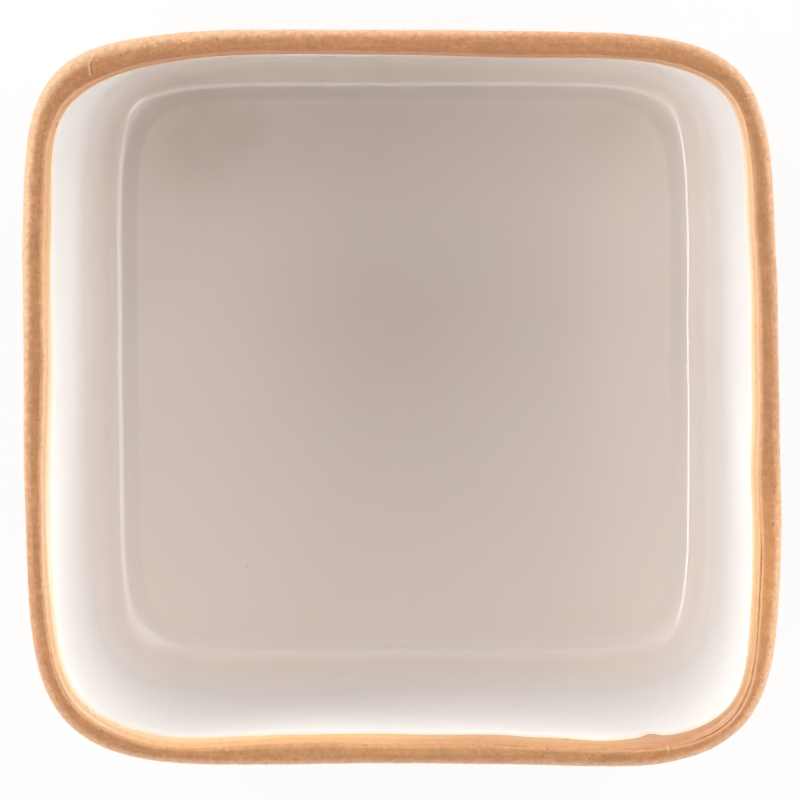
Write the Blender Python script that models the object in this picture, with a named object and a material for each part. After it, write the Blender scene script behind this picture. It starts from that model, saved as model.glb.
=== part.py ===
"""Square ramekin: a pressed stoneware dish, white-glazed inside, tan-glazed outside and over the lip.

Metres, +Z up. The origin is under the middle of the dish, on the surface that its foot stands on.
"""

import math

import bmesh
import bpy

# Sizes of the finished dish
RIM_WIDTH = 0.1000
HEIGHT = 0.0480
LIP_WIDTH = 0.0033
LIP_ROUND = 0.00145
RIM_SQUARENESS = 6.2
INNER_DRAFT = math.radians(7.5)
OUTER_DRAFT = math.radians(7.6)

# Floor and foot
FLOOR_THICKNESS = 0.0045
FLOOR_FILLET = 0.0060
FLOOR_SQUARENESS = 9.0
BASE_ROUND = 0.0030
FOOT_STEP = 0.0008
FOOT_WIDTH = 0.0040
FOOT_HEIGHT = 0.0015
FOOT_ROUND = 0.0004

# Glaze coats, and the clearances that keep each coat a layer of its own
GLAZE_COAT = 0.0004
GLAZE_GAP = 0.0001
GLAZE_SEAM = 0.00015
WHITE_LINE_DROP = 0.0043
TAN_LINE_HEIGHT = 0.0065
AMBER_START = 0.40

# What the kiln did: front and back drawn in at the rim and spread at the foot, rim leaning into a diamond
RIM_PINCH = 0.022
FOOT_SPREAD = 0.0125
RIM_LEAN = -0.007

# Fineness of the outline, how far its points crowd into the corners, and fineness of walls and rounded edges
OUTLINE_POINTS = 48
CORNER_CROWDING = 0.55
WALL_STEPS = 4
EDGE_STEPS = 4
FILLET_STEPS = 6


def corner(before, at, after, radius, steps, first=0.0, last=1.0):
    """Round one corner of the section; gives (reach, height, normal) stations along the arc."""
    way_in = math.atan2(at[1] - before[1], at[0] - before[0])
    way_out = math.atan2(after[1] - at[1], after[0] - at[0])
    turn = math.remainder(way_out - way_in, math.tau)
    back = radius * math.tan(abs(turn) / 2)
    side = math.copysign(radius, turn)
    centre_x = at[0] - back * math.cos(way_in) - side * math.sin(way_in)
    centre_z = at[1] - back * math.sin(way_in) + side * math.cos(way_in)
    stations = []
    for step in range(steps + 1):
        way = way_in + turn * (first + (last - first) * step / steps)
        normal = (math.sin(way), -math.cos(way))
        stations.append((centre_x + side * normal[0], centre_z + side * normal[1], normal))
    return stations


def on_line(start, end, height):
    """The station at a given height on the straight stretch between two stations."""
    share = (height - start[1]) / (end[1] - start[1])
    return (start[0] + share * (end[0] - start[0]), height, start[2])


def between(start, end):
    """Stations evenly spaced on the straight stretch between two stations, which it leaves out."""
    shares = [step / WALL_STEPS for step in range(1, WALL_STEPS)]
    return [on_line(start, end, start[1] + share * (end[1] - start[1])) for share in shares]


def lifted(stations, distance):
    """The same stretch of the section, raised off the clay by a distance."""
    return [(x + distance * n[0], z + distance * n[1], n) for x, z, n in stations]


def superellipse(reach, squareness, angle):
    """How far out a superellipse, a square with bowed sides and rounded corners, lies at an angle."""
    across, along = abs(math.cos(angle)), abs(math.sin(angle))
    return reach / (across**squareness + along**squareness) ** (1 / squareness)


def fired(x, y, z):
    """Where a point of the true square dish ends up after the kiln."""
    rise = z / HEIGHT
    drawn_y = y * (1 + FOOT_SPREAD * (1 - rise) - RIM_PINCH * rise)
    lean = RIM_LEAN * rise
    return (x + lean * drawn_y, drawn_y + lean * x, z)


def outline(reach, z):
    """Points of one level outline, going round once: the floor's outline grown evenly towards the rim's."""
    share = (reach - floor_edge) / (RIM_WIDTH / 2 - floor_edge)
    points = []
    for step in range(OUTLINE_POINTS):
        turn = math.tau * step / OUTLINE_POINTS
        angle = turn + CORNER_CROWDING * math.sin(4 * turn) / 4
        at_floor = superellipse(floor_edge, FLOOR_SQUARENESS, angle)
        at_rim = superellipse(RIM_WIDTH / 2, RIM_SQUARENESS, angle)
        size = at_floor + share * (at_rim - at_floor)
        points.append(fired(size * math.cos(angle), size * math.sin(angle), z))
    return points


def loft(name, stations, ring, material):
    """Skin a stack of outlines; a ring closes on itself, a bowl is filled at both ends."""
    mesh = bpy.data.meshes.new(name)
    bm = bmesh.new()
    first = [bm.verts.new(point) for point in outline(*stations[0][:2])]
    edges = [bm.edges.new((first[i - 1], first[i])) for i in range(len(first))]
    if not ring:
        bmesh.ops.edgeloop_fill(bm, edges=edges)
    verts = first
    climb = stations[1:] + stations[:1] if ring else stations[1:]
    for reach, z, _ in climb:
        made = bmesh.ops.extrude_edge_only(bm, edges=edges)["geom"]
        edges = [item for item in made if isinstance(item, bmesh.types.BMEdge) and item.is_boundary]
        verts = [next(e.other_vert(v) for e in v.link_edges if e.other_vert(v) in made) for v in verts]
        for vert, point in zip(verts, outline(reach, z)):
            vert.co = point
    if ring:
        bmesh.ops.weld_verts(bm, targetmap=dict(zip(verts, first)))
    else:
        bmesh.ops.edgeloop_fill(bm, edges=edges)
    bmesh.ops.recalc_face_normals(bm, faces=bm.faces)
    bm.to_mesh(mesh)
    bm.free()
    mesh.shade_smooth()
    mesh.set_sharp_from_angle(angle=math.radians(35))
    mesh.materials.append(material)
    dish.objects.link(bpy.data.objects.new(name, mesh))


def coat(name, stretch, ring, material):
    """A glaze coat: the stretch of clay that it covers, lifted to its back and to its face."""
    back = lifted(stretch, GLAZE_GAP)
    face = lifted(stretch, GLAZE_GAP + GLAZE_COAT)
    loft(name, face + back[::-1], ring, material)


def fired_material(name, colour, roughness):
    """A plain fired surface."""
    material = bpy.data.materials.new(name)
    material.use_nodes = True
    shader = material.node_tree.nodes["Principled BSDF"]
    shader.inputs["Base Color"].default_value = (*colour, 1.0)
    shader.inputs["Roughness"].default_value = roughness
    shader.inputs["Metallic"].default_value = 0.0
    return material


for item in list(bpy.data.objects):
    bpy.data.objects.remove(item)
dish = bpy.data.collections.new("square_ramekin")
bpy.context.scene.collection.children.link(dish)

# Sharp corners of the clay's section, which the glaze coats bring out to the finished sizes
skin = GLAZE_GAP + GLAZE_COAT
clay_top = HEIGHT - skin
clay_lip_round = LIP_ROUND - skin
lip_sharpness = clay_lip_round * (math.tan(OUTER_DRAFT) + 1 / math.cos(OUTER_DRAFT) - 1)
lip_outside = (RIM_WIDTH / 2 - skin + lip_sharpness, clay_top)
lip_inside = (RIM_WIDTH / 2 - LIP_WIDTH + skin, clay_top)
clay_floor = FOOT_HEIGHT + FLOOR_THICKNESS - skin
wall_foot = (lip_inside[0] - (clay_top - clay_floor) * math.tan(INNER_DRAFT), clay_floor)
floor_middle = (0.0, clay_floor)
base_edge = (lip_outside[0] - (clay_top - FOOT_HEIGHT) * math.tan(OUTER_DRAFT), FOOT_HEIGHT)
base_run = BASE_ROUND * math.tan(math.pi / 4 - OUTER_DRAFT / 2)
foot_outside = base_edge[0] - base_run - FOOT_ROUND - FOOT_STEP
foot_inside = foot_outside - FOOT_WIDTH

# Foot ring: recess, inner side, standing face, outer side
recess_edge = (foot_inside, FOOT_HEIGHT)
foot_in = (foot_inside, 0.0)
foot_out = (foot_outside, 0.0)
foot_top = (foot_outside, FOOT_HEIGHT)
recess_middle = (0.0, FOOT_HEIGHT)
foot = corner(recess_middle, recess_edge, foot_in, FOOT_ROUND, EDGE_STEPS // 2)
foot += corner(recess_edge, foot_in, foot_out, FOOT_ROUND, EDGE_STEPS // 2)
foot += corner(foot_in, foot_out, foot_top, FOOT_ROUND, EDGE_STEPS // 2)
foot += corner(foot_out, foot_top, base_edge, FOOT_ROUND, EDGE_STEPS // 2)

# Rounded base, lip edges and the fillet inside
base = corner(foot_top, base_edge, lip_outside, BASE_ROUND, EDGE_STEPS)
lip_outer = corner(base_edge, lip_outside, lip_inside, clay_lip_round, EDGE_STEPS)
lip_inner = corner(lip_outside, lip_inside, wall_foot, clay_lip_round, EDGE_STEPS)
fillet = corner(lip_inside, wall_foot, floor_middle, FLOOR_FILLET + skin, FILLET_STEPS)
floor_edge = fillet[-1][0]

# Where the coats end on the walls; the clay has the coats' stations, so that both follow the same facets
white_line = HEIGHT - WHITE_LINE_DROP
tan_foot = on_line(base[-1], lip_outer[0], TAN_LINE_HEIGHT)
amber_foot = on_line(lip_inner[-1], fillet[0], white_line)
white_top = on_line(lip_inner[-1], fillet[0], white_line - GLAZE_SEAM)
tan_wall = [tan_foot] + between(tan_foot, lip_outer[0]) + lip_outer
white_wall = [white_top] + between(white_top, fillet[0]) + fillet

# Clay shell
clay = fired_material("fired_clay", (0.46, 0.34, 0.24), 0.85)
loft("stoneware_body", foot + base + tan_wall + lip_inner + [amber_foot] + white_wall, False, clay)

# Tan coat: from above the foot, up the outside, over the lip and a little way round its inner edge
tan = fired_material("tan_glaze", (0.50, 0.25, 0.13), 0.60)
seam_share = GLAZE_SEAM / (clay_lip_round * (math.pi / 2 - INNER_DRAFT)) / 2
tan_edge = AMBER_START - seam_share
tan_lip = corner(lip_outside, lip_inside, wall_foot, clay_lip_round, EDGE_STEPS // 2, 0.0, tan_edge)
coat("tan_glaze", tan_wall + tan_lip, True, tan)

# Amber band: the rest of the lip's inner edge and the top of the inner wall, down to the white
amber = fired_material("amber_glaze", (0.85, 0.48, 0.20), 0.22)
amber_edge = AMBER_START + seam_share
amber_lip = corner(lip_outside, lip_inside, wall_foot, clay_lip_round, EDGE_STEPS, amber_edge, 1.0)
coat("amber_band", amber_lip + [amber_foot], True, amber)

# White coat: the inner wall below the band, the fillet and the floor
white = fired_material("white_glaze", (0.86, 0.82, 0.79), 0.12)
white_back = lifted(white_wall, GLAZE_GAP)
white_face = lifted(white_wall, GLAZE_GAP + GLAZE_COAT)
loft("white_glaze", white_face[::-1] + white_back, False, white)
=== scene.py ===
import bpy
import numpy as np
from mathutils import Matrix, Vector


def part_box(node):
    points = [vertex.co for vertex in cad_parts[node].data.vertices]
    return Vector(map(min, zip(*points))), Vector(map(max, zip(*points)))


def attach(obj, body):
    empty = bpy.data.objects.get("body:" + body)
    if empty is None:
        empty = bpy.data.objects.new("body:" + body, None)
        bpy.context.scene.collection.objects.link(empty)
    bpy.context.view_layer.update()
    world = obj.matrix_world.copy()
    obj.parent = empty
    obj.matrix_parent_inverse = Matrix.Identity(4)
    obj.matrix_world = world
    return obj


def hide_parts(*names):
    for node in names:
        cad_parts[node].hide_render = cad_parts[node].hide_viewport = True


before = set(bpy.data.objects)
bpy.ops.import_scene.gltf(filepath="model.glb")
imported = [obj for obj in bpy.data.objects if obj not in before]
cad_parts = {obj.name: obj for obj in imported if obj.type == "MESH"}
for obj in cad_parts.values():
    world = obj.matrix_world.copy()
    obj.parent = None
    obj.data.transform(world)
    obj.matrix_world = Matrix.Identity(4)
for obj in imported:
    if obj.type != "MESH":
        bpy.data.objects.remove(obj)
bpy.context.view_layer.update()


# Clay shell
# A slab of grogged stoneware pressed over a square mould: four leaning walls, a flat floor and a low foot
# ring. Only the base and the foot stay bare, rubbed smooth where the dish stands; glaze covers the rest.
half_width = 0.0500
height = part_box("tan_glaze")[1].z
clay_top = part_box("stoneware_body")[1].z
glaze = height - clay_top
glaze_coat = 0.0004
glaze_seat = 0.00004
clay_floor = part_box("white_glaze")[0].z + glaze_coat - glaze
rim_squareness = 6.2
floor_squareness = 9.0
rim_pinch = 0.022
foot_spread = 0.0190
rim_lean = -0.007
lip_width = 0.0033
lip_round = 0.00145 - glaze
inner_slope = np.tan(np.radians(6.25))
outer_slope = np.tan(np.radians(7.6))
fillet_round = 0.0070 + glaze
base_round = 0.0030
foot_height = 0.0015
foot_width = 0.0040
foot_round = 0.0004
foot_step = 0.0008

# Unevenness left by hand: bearing and width in degrees, height in millimetres; or height, length and seed
millimetre = 0.001
rim_bumps = ((18, 5, 0.10), (27, 9, -0.28), (44, 4, 0.18), (65, 13, -0.14), (126, 8, -0.50),
             (150, 6, -0.20), (190, 10, 0.20), (238, 9, 0.40), (252, 7, 0.16), (268, 20, -0.12),
             (303, 9, 0.68), (340, 9, 0.30), (355, 14, 0.20))
lip_bumps = ((10, 22, -0.20), (41, 7, -0.55), (71, 15, 0.34), (124, 7, 0.20), (132, 7, 0.70),
             (141, 5, -0.40), (203, 17, -0.68), (221, 7, -0.50), (236, 8, -0.62), (253, 9, 0.36),
             (281, 6, 0.26), (302, 5, 0.30), (310, 13, -0.75), (317, 6, -0.35), (347, 8, 0.42))
lip_margin = 0.0006
lip_depth = 0.0025
lip_fade_start = 0.33
lip_fade_length = 0.55
pressed_waves = ((0.00006, 0.016, 3), (0.00003, 0.004, 4))
flat_foot = 0.0012
bare_fade_start = 0.0045
bare_fade_end = 0.0058
rubbed_height = 0.0006

# Fineness of the mesh
clay_columns = 320
corner_crowding = 0.35
base_rings = 14
floor_rings = 10
foot_edge_steps = 5
foot_root_steps = 4
foot_side_steps = 3
foot_face_steps = 8
base_steps = 12
wall_steps = 12
lip_steps = 14
fillet_steps = 24

# Colours and gloss
clay_dark = (0.40, 0.28, 0.19)
clay_light = (0.50, 0.37, 0.26)
clay_dusty = (0.58, 0.46, 0.35)
clay_rubbed = (0.62, 0.50, 0.39)
clay_grog = (0.66, 0.55, 0.44)
clay_iron = (0.13, 0.075, 0.045)
bare_roughness = 0.86
rubbed_roughness = 0.62


def bend(before, at, after, radius, steps, first=0.0, last=1.0):
    """Stations round one corner of the half-section: the arc of that radius that touches the run before the
    corner and the run after it. A station is reach, height and the two parts of the outward normal."""
    way_in = np.arctan2(at[1] - before[1], at[0] - before[0])
    way_out = np.arctan2(after[1] - at[1], after[0] - at[0])
    turn = np.remainder(way_out - way_in + np.pi, 2 * np.pi) - np.pi
    back = radius * np.tan(abs(turn) / 2)
    side = np.copysign(radius, turn)
    way = way_in + turn * np.linspace(first, last, steps + 1)
    out = np.stack([np.sin(way), -np.cos(way)], axis=1)
    touch = np.array([at[0] - back * np.cos(way_in), at[1] - back * np.sin(way_in)])
    centre = touch + side * np.array([-np.sin(way_in), np.cos(way_in)])
    return np.hstack([centre + side * out, out])


def eased_bend(foot, slope, radius, steps):
    """Stations from a leaning wall down to a level floor. From the floor up, the run keeps to the radius
    until it has turned by half a right angle, then straightens at an even rate into the wall, whose line
    meets the floor's at the foot."""
    half, whole = np.pi / 4, np.arctan2(1, slope)
    share = np.linspace(0, 1, steps + 1)
    way = np.concatenate([half * share, whole - (whole - half) * (1 - share[1:]) ** 2])
    length = radius * np.concatenate([half * share, half + 2 * (whole - half) * share[1:]])
    step = np.diff(length)
    middle = (way[1:] + way[:-1]) / 2
    x = np.append(0, np.cumsum(step * np.cos(middle)))
    z = np.append(0, np.cumsum(step * np.sin(middle)))
    edge = foot[0] + z[-1] * slope - x[-1]
    return np.stack([edge + x, foot[1] + z, -np.sin(way), np.cos(way)], axis=1)[::-1]


def between(start, end, steps):
    """Stations evenly spaced on the straight run from one station to another, both left out."""
    share = np.linspace(0, 1, steps + 1)[1:-1, None]
    return start + share * (end - start)


def at_height(start, end, level):
    """The station at a given height on the straight run between two stations."""
    return start + (level - start[1]) / (end[1] - start[1]) * (end - start)


def raised(stations, distance):
    """The same stations moved out along their normals by a distance, one for all or one for each."""
    return np.hstack([stations[:, :2] + np.reshape(distance, (-1, 1)) * stations[:, 2:], stations[:, 2:]])


def hand_bumps(bearing, bumps):
    """Unevenness left by hand, by bearing in degrees: a sum of bell curves, each a place, a width in degrees
    and a height."""
    total = np.zeros_like(bearing)
    for place, wide, high in bumps:
        off = np.remainder(bearing - place + 180, 360) - 180
        total += high * np.exp(-((off / wide) ** 2))
    return total


def superellipse(reach, squareness, angle):
    """How far out a superellipse, a square with bowed sides and rounded corners, lies at an angle."""
    across, along = np.abs(np.cos(angle)), np.abs(np.sin(angle))
    return reach / (across**squareness + along**squareness) ** (1 / squareness)


def dish_surface(stations, columns):
    """The half-section carried round the dish. Each level is the floor's superellipse grown evenly towards
    the rim's; the kiln draws in the front and back at the rim, spreads them at the foot and slides the rim
    into a slight diamond. The bumps, in millimetres, grow with the square of the height on the rim; those of
    the lip grow from nought at its outer edge to the whole at its inner edge and die away down the wall."""
    turn = np.linspace(0, 2 * np.pi, columns, endpoint=False)[None, :]
    angle = turn + corner_crowding * np.sin(4 * turn) / 4
    reach, z, facing = stations[:, 0:1], stations[:, 1:2], stations[:, 2:3]
    at_floor = superellipse(floor_edge, floor_squareness, angle)
    at_rim = superellipse(half_width, rim_squareness, angle)
    size = at_floor + (reach - floor_edge) / (half_width - floor_edge) * (at_rim - at_floor)
    rise = z / height
    across = np.clip((half_width - lip_margin - reach) / (lip_width - 2 * lip_margin), 0, 1)
    down = np.clip((rise - lip_fade_start) / lip_fade_length, 0, 1)
    inside = np.where((facing < 0) | (z > height - lip_depth), np.minimum(across, down), 0)
    bearing = np.degrees(angle)
    bumps = rise**2 * hand_bumps(bearing, rim_bumps) - inside * hand_bumps(bearing, lip_bumps)
    size = size + millimetre * bumps
    x = size * np.cos(angle)
    y = size * np.sin(angle) * (1 + foot_spread * (1 - rise) - rim_pinch * rise)
    slide = rim_lean * rise
    return np.stack(np.broadcast_arrays(x + slide * y, y + slide * x, z), axis=-1)


def level_disc(edge, rings):
    """A level sheet inside an outline: the outline drawn in to its middle in even shares, middle first."""
    share = np.linspace(0, 1, rings + 1)[:-1, None, None]
    return edge * np.concatenate([share, share, np.ones_like(share)], axis=2)


def pushed(grid, distance):
    """The grid moved out along its normals by a distance for each point. A normal is the step round the dish
    crossed with the step along the section; the first and last rows, which may be drawn in to a point, take
    the normals of the rows beside them."""
    around = np.roll(grid, -1, axis=1) - np.roll(grid, 1, axis=1)
    normal = np.cross(around, np.gradient(grid, axis=0))
    normal[[0, -1]] = normal[[1, -2]]
    normal = normal / np.maximum(np.linalg.norm(normal, axis=2, keepdims=True), 1e-12)
    return grid + normal * distance[..., None]


def swell(points, length, seed, count=16, spread=0.4):
    """A smooth unevenness about one high: so many sine waves of about this length, in fixed directions."""
    draw = np.random.default_rng(seed)
    way = draw.normal(size=(count, 3))
    turns = 2 * np.pi / length * draw.uniform(1 - spread, 1 + spread, (count, 1))
    way *= turns / np.linalg.norm(way, axis=1, keepdims=True)
    start = draw.uniform(0, 2 * np.pi, count)
    return np.sin(points @ way.T + start).sum(axis=-1) * np.sqrt(2 / count)


def swells(points, waves):
    """Several such unevennesses added up, each a height, a length and a seed."""
    return sum(high * swell(points, length, seed) for high, length, seed in waves)


def smooth_step(value, low, high):
    """Nought below the low value, one above the high value, and an even curve between."""
    share = np.clip((value - low) / (high - low), 0, 1)
    return share * share * (3 - 2 * share)


def make_piece(name, grid, ring, **marks):
    """A closed mesh from a grid of rows along the section and columns round the dish. A ring joins its last
    row to its first; otherwise the first and last rows are each one point. Marks are values kept on the
    points. The UV map holds the length round the dish and the length along the section, in metres."""
    rows, columns = grid.shape[:2]
    index = np.arange(rows * columns).reshape(rows, columns)
    around = np.append(0, np.cumsum(np.linalg.norm(np.roll(grid, -1, axis=1) - grid, axis=2).max(axis=0)))
    along = np.append(0, np.cumsum(np.linalg.norm(np.roll(grid, -1, axis=0) - grid, axis=2).mean(axis=1)))
    row, column = np.divmod((index if ring else index[:-1]).ravel(), columns)
    far_row, far_column = (row + 1) % rows, (column + 1) % columns
    near, far = index[row, column], index[far_row, far_column]
    corners = np.stack([near, index[row, far_column], far, index[far_row, column]], axis=1)
    round_length = np.stack([around[column], around[column + 1], around[column + 1], around[column]], axis=1)
    along_length = np.stack([along[row], along[row], along[row + 1], along[row + 1]], axis=1)
    kept = np.ones(corners.shape, bool)
    points = np.arange(rows * columns)
    if not ring:
        corners[row == 0, :2] = 0
        corners[row == rows - 2, 2:] = index[-1, 0]
        kept[row == 0, 0] = False
        kept[row == rows - 2, 3] = False
        points = np.concatenate([[0], index[1:-1].ravel(), [index[-1, 0]]])
    number = np.zeros(rows * columns, int)
    number[points] = np.arange(len(points))
    corner_counts = kept.sum(axis=1)
    mesh = bpy.data.meshes.new(name)
    mesh.vertices.add(len(points))
    mesh.vertices.foreach_set("co", grid.reshape(-1, 3)[points].ravel())
    mesh.loops.add(int(corner_counts.sum()))
    mesh.loops.foreach_set("vertex_index", number[corners[kept]])
    mesh.polygons.add(len(corner_counts))
    mesh.polygons.foreach_set("loop_start", np.append(0, np.cumsum(corner_counts)[:-1]))
    mesh.update(calc_edges=True)
    lengths = np.stack([round_length[kept], along_length[kept]], axis=1)
    mesh.uv_layers.new(name="run").data.foreach_set("uv", lengths.ravel())
    for label, values in marks.items():
        layer = mesh.attributes.new(label, "FLOAT", "POINT")
        layer.data.foreach_set("value", np.broadcast_to(values, (rows, columns)).ravel()[points])
    mesh.shade_smooth()
    piece = bpy.data.objects.new(name, mesh)
    bpy.context.scene.collection.objects.link(piece)
    return piece


def add(tree, kind, inputs=None, **settings):
    """A shader node with its settings; an input is a plain value or another node's output."""
    item = tree.nodes.new(kind)
    for name, value in settings.items():
        setattr(item, name, value)
    for name, value in (inputs or {}).items():
        if isinstance(value, bpy.types.NodeSocket):
            tree.links.new(value, item.inputs[name])
        else:
            item.inputs[name].default_value = value
    return item


def reckon(tree, kind, first, second):
    """One step of arithmetic on two values."""
    return add(tree, "ShaderNodeMath", {0: first, 1: second}, operation=kind).outputs[0]


def span(tree, value, low, high, to_low, to_high):
    """A value stretched from one range to another and held at its ends."""
    return add(tree, "ShaderNodeMapRange", {0: value, 1: low, 2: high, 3: to_low, 4: to_high}).outputs[0]


def blend(tree, share, first, second):
    """First colour where the share is nought, second where it is one."""
    first = (*first, 1.0) if isinstance(first, tuple) else first
    return add(tree, "ShaderNodeMix", {0: share, 6: first, 7: (*second, 1.0)}, data_type="RGBA").outputs[2]


def tint(tree, colour, mask, second, most=1.0, low=0.0, high=1.0):
    """A colour blended towards a second one as the mask goes from its low to its high value, by at most this
    share."""
    return blend(tree, span(tree, mask, low, high, 0.0, most), colour, second)


def toned(tree, colour, value, factor_low, factor_high, high=1.0):
    """A colour made darker or lighter by a factor, as the value goes from nought to its high value."""
    inputs = {0: 1.0, 6: colour, 7: span(tree, value, 0.0, high, factor_low, factor_high)}
    return add(tree, "ShaderNodeMix", inputs, data_type="RGBA", blend_type="MULTIPLY").outputs[2]


def mark(tree, name):
    """A value kept on the points of the mesh."""
    return add(tree, "ShaderNodeAttribute", attribute_name=name).outputs["Fac"]


def new_material(name):
    """A material with its Principled shader and the piece's own coordinates."""
    material = bpy.data.materials.new(name)
    material.use_nodes = True
    tree = material.node_tree
    return material, tree, tree.nodes["Principled BSDF"], add(tree, "ShaderNodeTexCoord").outputs["Object"]


def join_shader(tree, shader, colour, roughness, relief, strength, depth):
    """Joins a material's colour, roughness and fine relief, whose depth is in metres, to its shader."""
    bump = add(tree, "ShaderNodeBump", {"Strength": strength, "Distance": depth, "Height": relief})
    tree.links.new(colour, shader.inputs["Base Color"])
    tree.links.new(roughness, shader.inputs["Roughness"])
    tree.links.new(bump.outputs["Normal"], shader.inputs["Normal"])


def new_group(name, inputs, output):
    """An empty shader group with a place and some plain values going in and one value coming out."""
    tree = bpy.data.node_groups.new(name, "ShaderNodeTree")
    tree.interface.new_socket("Place", in_out="INPUT", socket_type="NodeSocketVector")
    for label in inputs:
        tree.interface.new_socket(label, in_out="INPUT", socket_type="NodeSocketFloat")
    tree.interface.new_socket(output, in_out="OUTPUT", socket_type="NodeSocketFloat")
    return tree, add(tree, "NodeGroupInput").outputs, add(tree, "NodeGroupOutput").inputs[output]


def use_group(tree, group, place, **values):
    """A shared group set in a material with its own place and values; gives its output."""
    return add(tree, "ShaderNodeGroup", {"Place": place, **values}, node_tree=group).outputs[0]


# Specks of grog or iron, or burst bubbles: a soft uneven spot in some of the cells of a scattered pattern.
wobble_scale = 5000.0
wobble_reach = 0.00015
smallest_spot = 0.5
spot_softness = 0.12
specks, given, result = new_group("specks", ("Cells", "Share", "Size"), "Mask")
wobble = add(specks, "ShaderNodeTexNoise", {"Vector": given["Place"], "Scale": wobble_scale, "Detail": 1.0})
nudge_inputs = {0: wobble.outputs["Color"], "Scale": wobble_reach}
nudge = add(specks, "ShaderNodeVectorMath", nudge_inputs, operation="SCALE")
moved = add(specks, "ShaderNodeVectorMath", {0: given["Place"], 1: nudge.outputs[0]}, operation="ADD")
cells = add(specks, "ShaderNodeTexVoronoi", {"Vector": moved.outputs[0], "Scale": given["Cells"]})
chance = add(specks, "ShaderNodeSeparateColor", {"Color": cells.outputs["Color"]})
chosen = reckon(specks, "LESS_THAN", chance.outputs["Red"], given["Share"])
size_share = span(specks, chance.outputs["Green"], 0.0, 1.0, smallest_spot, 1.0)
wide = reckon(specks, "MULTIPLY", given["Size"], size_share)
spot = reckon(specks, "SUBTRACT", wide, cells.outputs["Distance"])
spot = span(specks, spot, 0.0, spot_softness, 0.0, 1.0)
specks.links.new(reckon(specks, "MULTIPLY", spot, chosen), result)

# Grain: cloudy noise drawn out to the whole range from nought to one.
noise_low, noise_high = 0.28, 0.72
grain, given, result = new_group("grain", ("Scale", "Fineness"), "Value")
noise = add(grain, "ShaderNodeTexNoise", {"Vector": given["Place"], "Scale": given["Scale"],
                                          "Detail": given["Fineness"], "Roughness": 0.6})
grain.links.new(span(grain, noise.outputs["Fac"], noise_low, noise_high, 0.0, 1.0), result)

lip_outside = (half_width - glaze + lip_round * (outer_slope + np.hypot(1, outer_slope) - 1), clay_top)
lip_inside = (half_width - lip_width + glaze, clay_top)
wall_foot = (lip_inside[0] - (clay_top - clay_floor) * inner_slope, clay_floor)
base_edge = (lip_outside[0] - (clay_top - foot_height) * outer_slope, foot_height)
foot_outside = base_edge[0] - base_round * (np.hypot(1, outer_slope) - outer_slope) - foot_round - foot_step
foot_inside = foot_outside - foot_width
inner_root, inner_edge = (foot_inside, foot_height), (foot_inside, 0)
outer_edge, outer_root = (foot_outside, 0), (foot_outside, foot_height)
recess = bend((0, foot_height), inner_root, inner_edge, foot_round, foot_root_steps)
foot_in = bend(inner_root, inner_edge, outer_edge, foot_round, foot_edge_steps)
foot_out = bend(inner_edge, outer_edge, outer_root, foot_round, foot_edge_steps)
foot_top = bend(outer_edge, outer_root, base_edge, foot_round, foot_root_steps)
base = bend(outer_root, base_edge, lip_outside, base_round, base_steps)
lip_outer = bend(base_edge, lip_outside, lip_inside, lip_round, lip_steps)
lip_inner = bend(lip_outside, lip_inside, wall_foot, lip_round, lip_steps)
fillet = eased_bend(wall_foot, inner_slope, fillet_round, fillet_steps)
floor_edge = fillet[-1, 0]

foot = np.vstack([recess, between(recess[-1], foot_in[0], foot_side_steps), foot_in,
                  between(foot_in[-1], foot_out[0], foot_face_steps), foot_out, foot_top])
wall = np.vstack([base, between(base[-1], lip_outer[0], wall_steps), lip_outer[::2], lip_inner[::2],
                  between(lip_inner[-1], fillet[0], wall_steps), fillet[::2]])
sides = dish_surface(np.vstack([foot, wall]), clay_columns)
clay_grid = np.concatenate([level_disc(sides[0], base_rings), sides,
                            level_disc(sides[-1], floor_rings)[::-1]])
clay_height = clay_grid[..., 2]
bare = 1 - smooth_step(clay_height, bare_fade_start, bare_fade_end)
bare = smooth_step(clay_height, 0, flat_foot) * bare
rubbed = 1 - smooth_step(clay_height, 0, rubbed_height)
clay_grid = pushed(clay_grid, swells(clay_grid, pressed_waves) * bare)
clay_shell = make_piece("clay_shell", clay_grid, False, rubbed=rubbed)

bare_clay, tree, shader, place = new_material("bare_clay")
cloud = use_group(tree, grain, place, Scale=90.0, Fineness=4.0)
tooth = use_group(tree, grain, place, Scale=2600.0, Fineness=3.0)
grog = use_group(tree, specks, place, Cells=900.0, Share=0.30, Size=0.40)
iron = use_group(tree, specks, place, Cells=420.0, Share=0.12, Size=0.22)
rubbed = mark(tree, "rubbed")
colour = blend(tree, cloud, clay_dark, clay_light)
colour = tint(tree, colour, tooth, clay_dusty, most=0.40)
colour = tint(tree, colour, grog, clay_grog, most=0.80)
colour = tint(tree, colour, iron, clay_iron)
colour = tint(tree, colour, rubbed, clay_rubbed, most=0.35)
roughness = span(tree, rubbed, 0.0, 1.0, bare_roughness, rubbed_roughness)
relief = reckon(tree, "ADD", tooth, grog)
join_shader(tree, shader, colour, roughness, relief, strength=0.5, depth=0.00008)
clay_shell.data.materials.append(bare_clay)
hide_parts("stoneware_body")
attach(clay_shell, "root")


# Tan coat
# A dry tan glaze brushed over the outside of the walls and over the lip, about half a millimetre thick. It
# breaks paler over the outer edge of the lip, partly painted highlight where that edge catches the lamps,
# and its lower edge stops in a wavering line above the foot.
tan_foot_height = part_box("tan_glaze")[0].z
amber_start = 0.40
foot_overhang = 0.0003
tapered = 0.00008
taper_reach = 0.0005
top_edge_shares = np.array([0.90, 0.75, 0.55])
lip_reach_start = 0.0030
lip_reach_full = 0.0012

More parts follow.
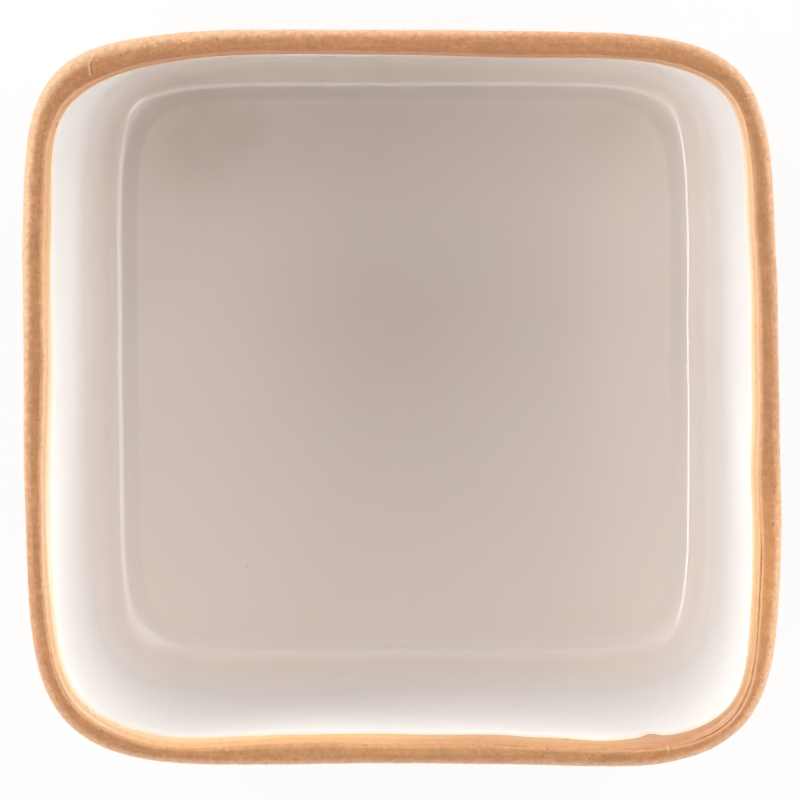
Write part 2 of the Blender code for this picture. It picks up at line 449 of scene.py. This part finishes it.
# Unevenness: waves, creases across the lip from point to point, the ridge along its inner edge, and nicks
tan_wall_waves = ((0.00008, 0.030, 21), (0.00002, 0.006, 22))
tan_lip_waves = ((0.00005, 0.008, 23), (0.000018, 0.0020, 24))
foot_line_waves = ((0.0007, 0.045, 25), (0.0003, 0.012, 26))
foot_line_reach = 0.004
creases = (((-0.0404, 0.0457), (-0.0410, 0.0447)), ((-0.0410, 0.0447), (-0.0408, 0.0433)),
           ((0.0353, -0.0460), (0.0354, -0.0473)))
crease_width = 0.00015
crease_groove_depth = 0.7
crease_groove_shift = 1.7
scar_height = 0.00013
ridge_bumps = ((335, 11, 0.8), (316, 10, 1.0))
ridge_shift = ((314, 9, 0.0004),)
ridge_place = 0.00042
ridge_width = 0.00020
groove_place = 0.00012
groove_width = 0.00016
nick_count = 60
nick_seed = 11
nick_first_row = 32
nick_widths = (0.00025, 0.00070)
nick_depths = (-0.00007, 0.00005)

# Marks of wear and fire by bearing, with painted shade on the inward face of the far side and painted
# highlight in the edge break, the sines of bearing between which the far side begins, and the outward
# parts of the normal between which each mark grows or fades
break_bumps = ((146, 24, 0.22), (95, 16, -0.14), (60, 16, -0.40), (5, 26, -0.42), (182, 14, -0.22),
               (206, 15, -0.46), (270, 36, -0.28), (332, 12, 0.16))
melt_bumps = ((272, 34, 0.35), (0, 25, 0.12))
toast_bumps = ((334, 13, 1.0), (312, 8, 0.4))
fleck_bumps = ((125, 1.6, 1.0), (121, 2.0, 0.8), (57, 2.0, 0.9), (41, 1.6, 0.8), (258, 3, 0.6),
               (296, 3, 0.6))
far_sines = (0.35, 0.75)
calm_share = 0.65
calm_facing = (0.30, 0.90)
break_facing = (0.05, 0.95)
melt_facing = (0.05, 0.60)
shade_facing = (-0.20, 0.50)
fleck_facing_in = (-0.15, 0.15)
fleck_facing_out = (0.65, 0.90)

# Fineness of the mesh
tan_columns = 1280
tan_wall_steps = 26
tan_top_steps = 4
tan_lip_steps = 10
tan_back_stride = 7
foot_roll_rows = 4

# Colours and gloss
tan_dark = (0.378, 0.165, 0.064)
tan_light = (0.440, 0.203, 0.083)
tan_brushed = (0.54, 0.268, 0.120)
tan_shaded = (0.335, 0.130, 0.049)
tan_toasted = (0.60, 0.260, 0.095)
tan_melted = (0.61, 0.325, 0.143)
tan_worn = (0.640, 0.380, 0.208)
tan_pit = (0.26, 0.105, 0.042)
tan_iron = (0.16, 0.075, 0.036)
tan_fleck = (0.76, 0.53, 0.36)
tan_crest = (0.78, 0.52, 0.34)
tan_groove = (0.24, 0.110, 0.045)
fray = 0.15
mottle_relief = 0.8
dry_roughness = 0.52
melted_roughness = 0.28


def crease(points, ends, wide):
    """A raised line across the lip from one point to another with a groove along its left-hand side: a bell
    curve of the distance from the line, less a lower one set a little to that side."""
    start, end = np.array(ends[0]), np.array(ends[1])
    length = np.linalg.norm(end - start)
    way = (end - start) / length
    from_start = points[..., :2] - start
    beyond = from_start @ way - np.clip(from_start @ way, 0, length)
    aside = way[0] * from_start[..., 1] - way[1] * from_start[..., 0]
    crest = np.exp(-(aside**2 + beyond**2) / wide**2)
    groove = np.exp(-((aside - crease_groove_shift * wide) ** 2 + beyond**2) / wide**2)
    return crest - crease_groove_depth * groove


def row_mask(rows, first, last):
    """A column that is one from the first row up to the last, which is left out, and nought elsewhere."""
    row = np.arange(rows)[:, None]
    return np.where((row >= first) & (row < last), 1.0, 0.0)


def bearings(grid):
    """Bearing of each grid point in degrees, from the right of the dish towards its far side."""
    return np.degrees(np.arctan2(grid[..., 1], grid[..., 0]))


def strokes(tree, squeeze):
    """The piece's UV map with the length round the dish squeezed, which draws a pattern out into strokes."""
    length = add(tree, "ShaderNodeUVMap", uv_map="run").outputs["UV"]
    return add(tree, "ShaderNodeMapping", {"Vector": length, "Scale": (squeeze, 1.0, 1.0)}).outputs["Vector"]


foot_line = at_height(base[-1], lip_outer[0], tan_foot_height)
tan_lip = bend(lip_outside, lip_inside, wall_foot, lip_round, tan_lip_steps, 0.0, amber_start)
covered = np.vstack([foot_line, between(foot_line, lip_outer[0], tan_wall_steps), lip_outer,
                     between(lip_outer[-1], tan_lip[0], tan_top_steps), tan_lip])
roll = np.linspace(0, np.pi / 2, foot_roll_rows + 1)[:-1]
foot_edge = raised(np.repeat(foot_line[None], foot_roll_rows, axis=0), glaze * np.sin(roll))
foot_edge[:, 1] -= foot_overhang * np.cos(roll)
top_depths = (glaze - tapered) * top_edge_shares
top_edge = raised(np.repeat(tan_lip[-1:], len(top_depths), axis=0), top_depths)
from_edge = np.linalg.norm(covered[:, :2] - covered[-1, :2], axis=1)
depth = glaze - tapered * (1 - smooth_step(from_edge, 0, taper_reach))
back = raised(covered[::-1][::tan_back_stride], glaze_seat)
tan_rows = np.vstack([foot_edge, raised(covered, depth), top_edge, back])
tan_grid = dish_surface(tan_rows, tan_columns)

face_start = len(foot_edge)
face_end = face_start + len(covered)
on_face = row_mask(len(tan_rows), face_start, face_end)
on_lip = smooth_step(tan_rows[:, 1:2], height - lip_reach_start, height - lip_reach_full) * on_face
uneven = (1 - on_lip) * swells(tan_grid, tan_wall_waves)
uneven += on_lip * swells(tan_grid, tan_lip_waves)
bearing = bearings(tan_grid)
from_top = np.linalg.norm(tan_rows[:, :2] - tan_rows[face_end - 1, :2], axis=1)[:, None]
from_top = from_top - hand_bumps(bearing, ridge_shift)
ridge = np.exp(-(((from_top - ridge_place) / ridge_width) ** 2))
ridge -= np.exp(-(((from_top - groove_place) / groove_width) ** 2))
# The creases and the ridge are raised in the mesh; the same mark also paints their light and shade
scar = np.clip(sum(crease(tan_grid, ends, crease_width) for ends in creases), -1, 1)
scar = on_lip * (scar + hand_bumps(bearing, ridge_bumps) * ridge)
uneven += scar_height * scar
draw = np.random.default_rng(nick_seed)
lip_row = draw.integers(face_start + nick_first_row, face_end, nick_count)
nicks = tan_grid[lip_row, draw.integers(0, tan_columns, nick_count)]
widths = draw.uniform(*nick_widths, nick_count)
depths = draw.uniform(*nick_depths, nick_count)
for nick, wide, deep in zip(nicks, widths, depths):
    uneven += on_lip * deep * np.exp(-((tan_grid - nick) ** 2).sum(axis=-1) / wide**2)
facing = tan_rows[:, 2:3]
calm = 1 - calm_share * smooth_step(facing, *calm_facing)
tan_grid = pushed(tan_grid, uneven * calm * on_face)
low = 1 - smooth_step(tan_grid[..., 2], tan_foot_height, tan_foot_height + foot_line_reach)
tan_grid[..., 2] += swells(tan_grid[:1], foot_line_waves) * low

far_side = smooth_step(np.sin(np.radians(bearing)), *far_sines)
# The paler glaze break over the outer edge of the lip, partly painted highlight where the lamps light that
# edge, wider or narrower by bearing
edge_break = smooth_step(facing + hand_bumps(bearing, break_bumps), *break_facing) * on_lip
melted = smooth_step(hand_bumps(bearing, melt_bumps) - facing, *melt_facing) * on_lip * (1 - far_side)
# Painted shade: the inward face of the lip on the far side, turned away from the lamps, is darkened
shade = far_side * smooth_step(-facing, *shade_facing) * on_lip
toasted = hand_bumps(bearing, toast_bumps) * on_lip
flecked = smooth_step(facing, *fleck_facing_in) * (1 - smooth_step(facing, *fleck_facing_out))
flecked = hand_bumps(bearing, fleck_bumps) * flecked * on_lip
tan_coat = make_piece("tan_coat", tan_grid, True, edge_break=edge_break, melted=melted, shade=shade,
                      toasted=toasted, flecked=flecked, scar=scar)

dry_tan, tree, shader, place = new_material("dry_tan_glaze")
cloud = use_group(tree, grain, place, Scale=130.0, Fineness=3.0)
brush = use_group(tree, grain, strokes(tree, 0.14), Scale=1700.0, Fineness=3.0)
tooth = use_group(tree, grain, place, Scale=2800.0, Fineness=2.0)
mottle = use_group(tree, grain, place, Scale=1200.0, Fineness=4.0)
flecks = use_group(tree, specks, place, Cells=2500.0, Share=0.45, Size=0.50)
grog = use_group(tree, specks, place, Cells=900.0, Share=0.05, Size=0.20)
pits = use_group(tree, specks, place, Cells=1500.0, Share=0.10, Size=0.34)
iron = use_group(tree, specks, place, Cells=500.0, Share=0.08, Size=0.14)
melted, scar = mark(tree, "melted"), mark(tree, "scar")
worn = reckon(tree, "ADD", mark(tree, "edge_break"), span(tree, mottle, 0.0, 1.0, -fray, fray))
pale = reckon(tree, "MAXIMUM", reckon(tree, "MULTIPLY", flecks, mark(tree, "flecked")), grog)
colour = blend(tree, cloud, tan_dark, tan_light)
colour = tint(tree, colour, brush, tan_brushed, most=0.45, low=0.4)
# Painted shade on the inward face of the lip on the far side
colour = tint(tree, colour, mark(tree, "shade"), tan_shaded, most=0.60)
colour = tint(tree, colour, mark(tree, "toasted"), tan_toasted, most=0.85)
colour = tint(tree, colour, melted, tan_melted, most=0.66)
# The paler edge break, partly painted highlight
colour = tint(tree, colour, worn, tan_worn, most=0.90, low=0.05)
colour = toned(tree, colour, mottle, 0.85, 1.12)
colour = toned(tree, colour, tooth, 0.89, 1.02, high=0.6)
colour = tint(tree, colour, pits, tan_pit, most=0.70)
colour = tint(tree, colour, iron, tan_iron, most=0.80)
colour = tint(tree, colour, pale, tan_fleck, most=0.50)
# Painted highlight on the crests of the creases and the ridge, and painted shade in their grooves
colour = tint(tree, colour, scar, tan_crest, most=0.50, low=0.1)
colour = tint(tree, colour, scar, tan_groove, most=0.42, low=-0.1, high=-0.9)
roughness = span(tree, melted, 0.0, 1.0, dry_roughness, melted_roughness)
relief = reckon(tree, "ADD", tooth, reckon(tree, "MULTIPLY", mottle, mottle_relief))
relief = reckon(tree, "SUBTRACT", relief, pits)
join_shader(tree, shader, colour, roughness, relief, strength=0.55, depth=0.00007)
tan_coat.data.materials.append(dry_tan)
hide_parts("tan_glaze")
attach(tan_coat, "root")


# Amber band
# The strip inside the lip where the white glaze thins over the tan and melts to a glossy amber. It tucks
# under the edge of the tan coat at the top and under the bead of the white glaze at the bottom.
white_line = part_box("white_glaze")[1].z
amber_tuck = 0.12
amber_overlap = 0.0030
amber_depth = 0.00040
tucked_depth = 0.00015
tuck_below = 0.0015
tuck_above = 0.0003
amber_edge_shares = np.array([0.45, 0.90])

# Unevenness, and the edge of the white glaze: waves, bumps in millimetres and how far up and down they reach
amber_waves = ((0.00003, 0.022, 41), (0.000006, 0.004, 32))
line_waves = ((0.00030, 0.035, 43), (0.00010, 0.009, 44))
line_bumps = ((141, 6, 0.9), (222, 9, 1.2), (267, 10, -1.3), (285, 6, -0.8), (300, 3.5, 1.0),
              (305.9, 1.1, -2.0), (317, 8, 1.2))
line_reach_down = 0.006
line_reach_level = 0.0005
line_reach_up = 0.0030

# Where the amber is darker by bearing, added to the painted shade of the far side, and paler by
# bearing, and where it thins towards the tan
shade_bumps = ((142, 16, 0.35), (286, 20, 0.60), (313, 11, 0.8))
fade_bumps = ((203, 15, 1.0), (178, 13, 0.50), (226, 9, 0.40), (0, 18, 0.35), (33, 14, 0.70))
shade_sines = (0.55, 0.95)
thin_above_line = 0.0014
thin_below_rim = 0.0006

# Fineness of the mesh
amber_columns = 960
amber_lip_steps = 10
amber_wall_steps = 14
amber_back_stride = 4

# Colours and gloss
amber_dark = (0.75, 0.445, 0.185)
amber_light = (0.83, 0.535, 0.250)
amber_streak = (0.87, 0.630, 0.350)
amber_faded = (0.88, 0.720, 0.520)
amber_thin = (0.62, 0.330, 0.145)
amber_shaded = (0.42, 0.180, 0.085)
amber_fleck = (0.48, 0.230, 0.095)
amber_pit = (0.42, 0.200, 0.080)
amber_roughness_low = 0.26
amber_roughness_high = 0.38


def follow_line(grid):
    """Slides a grid along the inner wall so that it keeps to the wavering edge of the poured white glaze: a
    long and a short swell round the rim and set bumps in millimetres, which die away above and below it."""
    bearing = np.arctan2(grid[..., 1], grid[..., 0])
    ring = half_width * np.stack([np.cos(bearing), np.sin(bearing), np.zeros_like(bearing)], axis=-1)
    shift = swells(ring, line_waves)
    shift += millimetre * hand_bumps(np.degrees(bearing), line_bumps)
    z = grid[..., 2]
    shift *= smooth_step(z, white_line - line_reach_down, white_line)
    shift *= 1 - smooth_step(z, white_line + line_reach_level, white_line + line_reach_up)
    grow = 1 + inner_slope * shift / half_width
    return np.stack([grid[..., 0] * grow, grid[..., 1] * grow, z + shift], axis=-1)


amber_top = amber_start - amber_tuck
amber_lip = bend(lip_outside, lip_inside, wall_foot, lip_round, amber_lip_steps, amber_top, 1.0)
amber_foot = at_height(amber_lip[-1], fillet[0], white_line - amber_overlap)
covered = np.vstack([amber_lip, between(amber_lip[-1], amber_foot, amber_wall_steps), amber_foot])
depth = smooth_step(covered[:, 1], white_line - tuck_below, white_line + tuck_above)
depth = tucked_depth + (amber_depth - tucked_depth) * depth
tucked_rows = len(amber_edge_shares)
depth[:tucked_rows] *= amber_edge_shares
back = raised(covered[::-1][::amber_back_stride], glaze_seat)
amber_rows = np.vstack([raised(covered, depth), back])
amber_grid = dish_surface(amber_rows, amber_columns)
on_face = row_mask(len(amber_rows), tucked_rows, len(covered) - 1)
amber_grid = follow_line(pushed(amber_grid, swells(amber_grid, amber_waves) * on_face))

bearing = bearings(amber_grid)
thin = smooth_step(amber_rows[:, 1:2], white_line + thin_above_line, height - thin_below_rim)
# Painted shade: the amber on the far side, where its inner shoulder faces away from the lamps, is darkened;
# the bumps darken it further at set bearings
shade = smooth_step(np.sin(np.radians(bearing)), *shade_sines) + hand_bumps(bearing, shade_bumps)
faded = hand_bumps(bearing, fade_bumps)
amber_band = make_piece("amber_glaze_band", amber_grid, True, thin=thin, shade=shade, faded=faded)

amber_gloss, tree, shader, place = new_material("amber_gloss")
cloud = use_group(tree, grain, place, Scale=150.0, Fineness=3.0)
streak = use_group(tree, grain, strokes(tree, 0.20), Scale=1400.0, Fineness=2.0)
mottle = use_group(tree, grain, place, Scale=1300.0, Fineness=3.0)
flecks = use_group(tree, specks, place, Cells=1700.0, Share=0.16, Size=0.32)
pits = use_group(tree, specks, place, Cells=700.0, Share=0.04, Size=0.22)
colour = blend(tree, cloud, amber_dark, amber_light)
colour = tint(tree, colour, streak, amber_streak, most=0.36)
colour = tint(tree, colour, mark(tree, "faded"), amber_faded)
colour = tint(tree, colour, mark(tree, "thin"), amber_thin, most=0.80)
# Painted shade on the amber of the far side
colour = tint(tree, colour, mark(tree, "shade"), amber_shaded, most=0.85)
colour = toned(tree, colour, mottle, 0.91, 1.07)
colour = tint(tree, colour, flecks, amber_fleck, most=0.30)
colour = tint(tree, colour, pits, amber_pit)
roughness = span(tree, cloud, 0.0, 1.0, amber_roughness_low, amber_roughness_high)
join_shader(tree, shader, colour, roughness, streak, strength=0.12, depth=0.00006)
amber_band.data.materials.append(amber_gloss)
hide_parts("amber_band")
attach(amber_band, "root")


# White lining
# A glossy white glaze, half a millimetre thick, poured into the dish and out again: it covers the floor, the
# fillet and the walls, and ends below the lip in a rounded bead on a wavering line. Its colour carries
# painted
# shade: warmer lower down, darker in patches on the floor, where one near the middle is the painted
# reflection of the camera, and in a band along the foot of the fillet.
bead_depth = 0.00043
bead_reach = 0.00035
bead_taper = 0.0030
white_waves = ((0.00003, 0.022, 41), (0.000004, 0.007, 42))

# Painted shade on the floor by place, radius and share, with one spot near the middle the painted
# reflection of the camera, and painted shade along the fillet by bearing; and where its gloss above the
# floor is duller, by bearing
pools = ((-31, 33, 12, 0.53), (-24, 36, 11, 0.28), (-6, 37, 12, 0.26), (14, 37, 11, 0.20),
         (31, 34, 10, 0.38), (-36, 16, 7, 0.14), (-2, 5, 12, 0.18))
gather_bumps = ((135, 70, 0.8), (20, 45, 0.6), (270, 50, 0.3))
dull_bumps = ((46, 5.5, 0.90), (135, 10, 0.40), (225, 12, 0.60), (314, 5.5, 0.90))

# Heights above the glazed floor between which each look grows or fades
gather_grows = (0.00004, 0.00016)
gather_fades = (0.00055, 0.00100)
dull_grows = (-0.0001, 0.0005)
gloss_fades = (0.0013, 0.0060)

# The painted warm shade ends at this share of the white line's height, and the thin edge grows round that
# line
deep_share = 0.45
thin_grows = (-0.0012, 0.0002)

# Fineness of the mesh
white_columns = 640
white_wall_steps = 44
white_rings = 26
back_rings = 8
white_back_stride = 9
bead_rows = 8

# Colours and gloss
white_high = (0.824, 0.820, 0.814)
white_deep = (0.892, 0.784, 0.720)
white_cloud = (0.88, 0.83, 0.79)
white_pooled = (0.62, 0.50, 0.43)
white_thin = (0.88, 0.68, 0.48)
white_pinhole = (0.50, 0.42, 0.37)
gathered_tone = 0.86
drift_tones = (0.85, 1.15)
wall_roughness = 0.25
floor_roughness = 0.07
white_ior = 1.56


def pooled_glaze(points):
    """Painted shade on the floor, with the painted reflection of the camera near its middle: a sum of round
    bell curves, each a place and a radius in millimetres and a share."""
    total = np.zeros(points.shape[:-1])
    for x, y, wide, share in pools:
        off = points[..., :2] / millimetre - np.array([x, y])
        total += share * np.exp(-(off**2).sum(axis=-1) / wide**2)
    return total


white_top = at_height(lip_inner[-1], fillet[0], white_line)
covered = np.vstack([white_top, between(white_top, fillet[0], white_wall_steps), fillet])
roll = np.linspace(0, np.pi / 2, bead_rows + 1)[:-1]
bead_depths = glaze_seat + (bead_depth - glaze_seat) * np.sin(roll)
bead = raised(np.repeat(white_top[None], bead_rows, axis=0), bead_depths)
bead[:, :2] += bead_reach * np.cos(roll)[:, None] * np.array([inner_slope, 1.0])
depth = glaze - (glaze - bead_depth) * smooth_step(covered[:, 1], white_line - bead_taper, white_line)
face = dish_surface(np.vstack([bead, raised(covered, depth)]), white_columns)
back = dish_surface(raised(covered[::-1][::white_back_stride], glaze_seat), white_columns)
white_grid = np.concatenate([level_disc(back[0], back_rings), back, face,
                             level_disc(face[-1], white_rings)[::-1]])
on_face = row_mask(len(white_grid), back_rings + len(back), len(white_grid))

bearing = bearings(white_grid)
white_height = white_grid[..., 2]
above_floor = white_height - clay_floor - glaze
# Painted warm shade: the glaze coloured warmer towards the floor, as bounced light warms the shade of the
# hollow
deep = 1 - smooth_step(white_height, clay_floor, deep_share * white_line)
thin = smooth_step(white_height - white_line, *thin_grows)
low = 1 - smooth_step(above_floor, *gloss_fades)
dull = hand_bumps(bearing, dull_bumps) * smooth_step(above_floor, *dull_grows)
# Painted shade in a band along the foot of the fillet, stronger at some bearings
gathered = smooth_step(above_floor, *gather_grows) * (1 - smooth_step(above_floor, *gather_fades))
gathered = gathered * hand_bumps(bearing, gather_bumps)
white_grid = follow_line(pushed(white_grid, swells(white_grid, white_waves) * on_face))
white_lining = make_piece("white_lining", white_grid, False, deep=deep, glassy=low * (1 - dull), thin=thin,
                          pooled=pooled_glaze(white_grid) * low, gathered=gathered)

white_gloss, tree, shader, place = new_material("white_gloss")
cloud = use_group(tree, grain, place, Scale=55.0, Fineness=3.0)
drift = use_group(tree, grain, place, Scale=140.0, Fineness=2.0)
ripple = use_group(tree, grain, place, Scale=350.0, Fineness=1.0)
pinholes = use_group(tree, specks, place, Cells=230.0, Share=0.06, Size=0.12)
# Painted shade and the painted reflection of the camera on the floor, varied by the drift
pooled = reckon(tree, "MULTIPLY", mark(tree, "pooled"), span(tree, drift, 0.0, 1.0, *drift_tones))
# Painted warm shade lower down
colour = blend(tree, mark(tree, "deep"), white_high, white_deep)
colour = tint(tree, colour, cloud, white_cloud, most=0.20)
colour = tint(tree, colour, pooled, white_pooled)
# Painted shade along the foot of the fillet
colour = toned(tree, colour, mark(tree, "gathered"), 1.0, gathered_tone)
colour = tint(tree, colour, mark(tree, "thin"), white_thin, most=0.85)
colour = tint(tree, colour, pinholes, white_pinhole, most=0.50)
roughness = span(tree, mark(tree, "glassy"), 0.0, 1.0, wall_roughness, floor_roughness)
relief = reckon(tree, "SUBTRACT", ripple, pinholes)
join_shader(tree, shader, colour, roughness, relief, strength=0.03, depth=0.0001)
shader.inputs["IOR"].default_value = white_ior
white_lining.data.materials.append(white_gloss)
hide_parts("white_glaze")
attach(white_lining, "root")


# Table
# A plain white table top under the dish, which stands on it by its own weight. The camera sees it as a white
# ground that keeps the soft shadow of the dish.
table_reach = 3.0
table_level = -0.0001
table_colour = (0.86, 0.86, 0.86, 1)
shadow_share = 0.14
white = (1, 1, 1, 1)


def seen_rays(tree):
    """One on rays from the camera, in reflections and through glass, and nought on rays that only light."""
    path = add(tree, "ShaderNodeLightPath")
    seen = reckon(tree, "MAXIMUM", path.outputs["Is Camera Ray"], path.outputs["Is Glossy Ray"])
    return reckon(tree, "MAXIMUM", seen, path.outputs["Is Transmission Ray"])


table_mesh = bpy.data.meshes.new("table")
ends = np.array([[-1, -1], [1, -1], [1, 1], [-1, 1]]) * table_reach
ends = np.column_stack([ends, np.full(len(ends), table_level)])
table_mesh.from_pydata(ends.tolist(), [], [(0, 1, 2, 3)])
table = bpy.data.objects.new("table", table_mesh)
bpy.context.scene.collection.objects.link(table)
white_table = bpy.data.materials.new("white_table")
white_table.use_nodes = True
tree = white_table.node_tree
tree.nodes.clear()
matt = add(tree, "ShaderNodeBsdfDiffuse", {"Color": table_colour})
glow = add(tree, "ShaderNodeEmission", {"Color": white, "Strength": 1.0})
seen = reckon(tree, "MULTIPLY", seen_rays(tree), 1 - shadow_share)
mixed = add(tree, "ShaderNodeMixShader", {0: seen, 1: matt.outputs[0], 2: glow.outputs[0]})
add(tree, "ShaderNodeOutputMaterial", {"Surface": mixed.outputs[0]})
table_mesh.materials.append(white_table)


# Light
# Soft lamps all round the dish, brightest low down beyond its far corners, weaker higher up and dim
# overhead, where the camera looks in. A thin strip on the left draws the bright line along the fillet. The
# world is white to the camera and in reflections, and gives no other light.

# Bearing and elevation in degrees, brightness, where one is white, and the width and height if not the usual
left_lamp = (180, 18, 5.4)
left_fill = (180, 30, 2.9)
left_strip = (180, 28, 9.0, 56, 3.5)
round_lamps = ((0, 18, 7.4), (0, 30, 2.6), (45, 18, 2.9), (135, 18, 5.0), (135, 29, 0.8), (45, 41, 2.6),
               (90, 64, 0.6, 90, 16), (45, 6, 9.6), (135, 6, 9.6), (45, 29, 1.1), (45, 41, 1.1),
               (135, 29, 1.1), (135, 41, 1.1), (90, 29, 0.5), (90, 41, 0.8), (270, 6, 2.0), (225, 18, 6.4),
               (225, 30, 1.5), (270, 30, 1.9), (315, 18, 6.8), (315, 30, 1.0))
overhead_fill = (270, 84, 0.88, 48, 24)
overhead_lamp = (270, 84, 1.0, 16, 8)
unmirrored = (left_fill, overhead_fill)
lamp_wide = 45
lamp_tall = 12
narrowest = 0.5


def placed(right, back, place):
    """The matrix of a lamp or camera at a place, from the directions to its right and behind it."""
    axes = np.stack([right, np.cross(back, right), back, place], axis=1)
    return Matrix(np.vstack([axes, [0, 0, 0, 1]]).tolist())


def panel(bearing, elevation, strength, wide=lamp_wide, tall=lamp_tall):
    """A soft lamp of an even brightness, a metre from the middle of the rim and facing it, at that bearing
    and elevation. It is as many degrees wide and tall; the width shrinks with the elevation, to half at
    most."""
    turn, rise = np.radians(bearing), np.radians(elevation)
    back = np.array([np.cos(rise) * np.cos(turn), np.cos(rise) * np.sin(turn), np.sin(rise)])
    right = np.array([-np.sin(turn), np.cos(turn), 0.0])
    lamp = bpy.data.lights.new("panel", "AREA")
    lamp.shape = "RECTANGLE"
    lamp.size = 2 * np.tan(np.radians(wide / 2)) * max(np.cos(rise), narrowest)
    lamp.size_y = 2 * np.tan(np.radians(tall / 2))
    lamp.energy = np.pi * lamp.size * lamp.size_y * strength
    holder = bpy.data.objects.new("panel", lamp)
    holder.matrix_world = placed(right, back, back + [0, 0, height])
    holder.visible_camera = False
    bpy.context.scene.collection.objects.link(holder)
    return holder


for lamp in (left_lamp, left_fill, left_strip, *round_lamps, overhead_fill, overhead_lamp):
    panel(*lamp).visible_glossy = lamp not in unmirrored

world = bpy.data.worlds.new("tent")
world.use_nodes = True
tree = world.node_tree
tree.nodes.clear()
unseen = add(tree, "ShaderNodeBackground", {"Color": white, "Strength": 0.0})
tent = add(tree, "ShaderNodeBackground", {"Color": white, "Strength": 1.0})
mixed = add(tree, "ShaderNodeMixShader", {0: seen_rays(tree), 1: unseen.outputs[0], 2: tent.outputs[0]})
add(tree, "ShaderNodeOutputWorld", {"Surface": mixed.outputs[0]})
bpy.context.scene.world = world
bpy.context.scene.view_settings.view_transform = "Standard"


# Camera
# Almost straight above the dish, leaning a few degrees to the far side, with a long lens.
camera_distance = 1.2
lean_far = np.radians(6.0)
lean_right = np.radians(0.62)
camera_roll = 0.0047
aim_left = 0.00013
aim_near = 0.00017
aim_below_rim = 0.0012
pixels_per_metre = 7541
image_width = 800
sensor_width = 36.0
clip_distance = 20

aim = np.array([-aim_left, -aim_near, height - aim_below_rim])
back = np.array([np.sin(lean_right), np.sin(lean_far), 0.0])
back[2] = np.sqrt(1 - back @ back)
level = np.cross([0, 1, 0], back)
level = level / np.linalg.norm(level)
right = level * np.cos(camera_roll) - np.cross(back, level) * np.sin(camera_roll)
lens = bpy.data.cameras.new("camera")
lens.sensor_width = sensor_width
lens.lens = pixels_per_metre * sensor_width * camera_distance / image_width
lens.clip_end = clip_distance
camera = bpy.data.objects.new("camera", lens)
camera.matrix_world = placed(right, back, aim + back * camera_distance)
bpy.context.scene.collection.objects.link(camera)
bpy.context.scene.camera = camera
